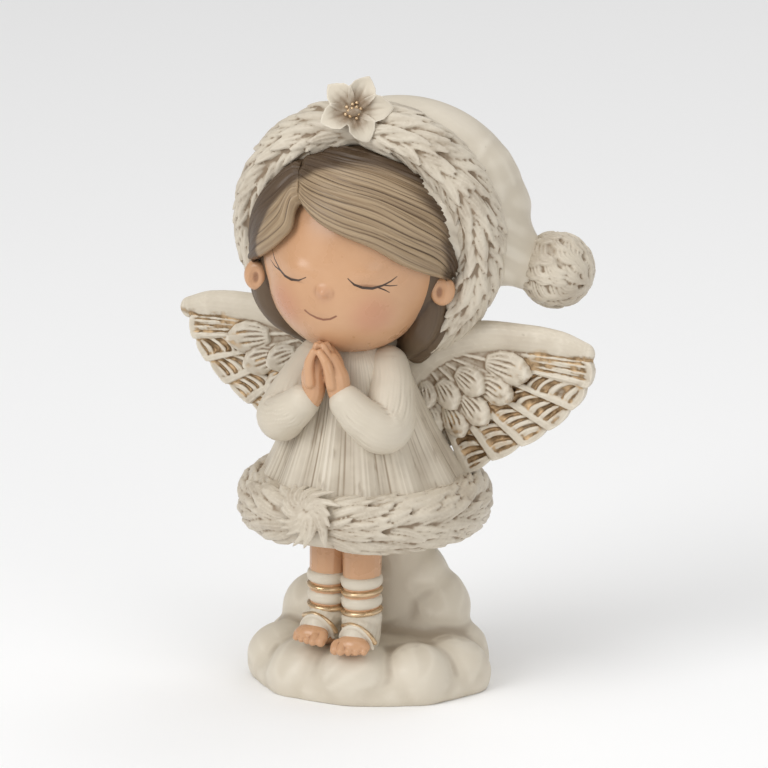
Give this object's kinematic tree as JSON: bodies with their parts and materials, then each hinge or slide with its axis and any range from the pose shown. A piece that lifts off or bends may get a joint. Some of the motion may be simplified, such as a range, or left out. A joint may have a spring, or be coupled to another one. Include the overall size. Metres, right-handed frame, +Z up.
{
  "type": "angel figurine",
  "caption": "Cast resin angel girl with praying hands, feathered wings, fur-hemmed dress and a flower on her drooping winter hat, standing on a cloud base.",
  "frame": {"origin": "middle of the cloud base's flat underside", "axes": "+Z up, the figure faces -Y, and her left hand and the hat's pompom are on +X"},
  "size_m": [0.1287, 0.0765, 0.1779],
  "materials": {
    "painted_resin": "warm ivory satin paint with a beige-brown wash in the recesses",
    "skin_paint": "peach satin paint with rosy cheeks and thin brown painted lashes and mouth",
    "hair_paint": "ash-brown satin paint, lighter on the strands",
    "gold_paint": "warm gold metallic paint"
  },
  "bodies": {
    "root": {"angel_figurine": "painted_resin"}
  },
  "joints": []
}
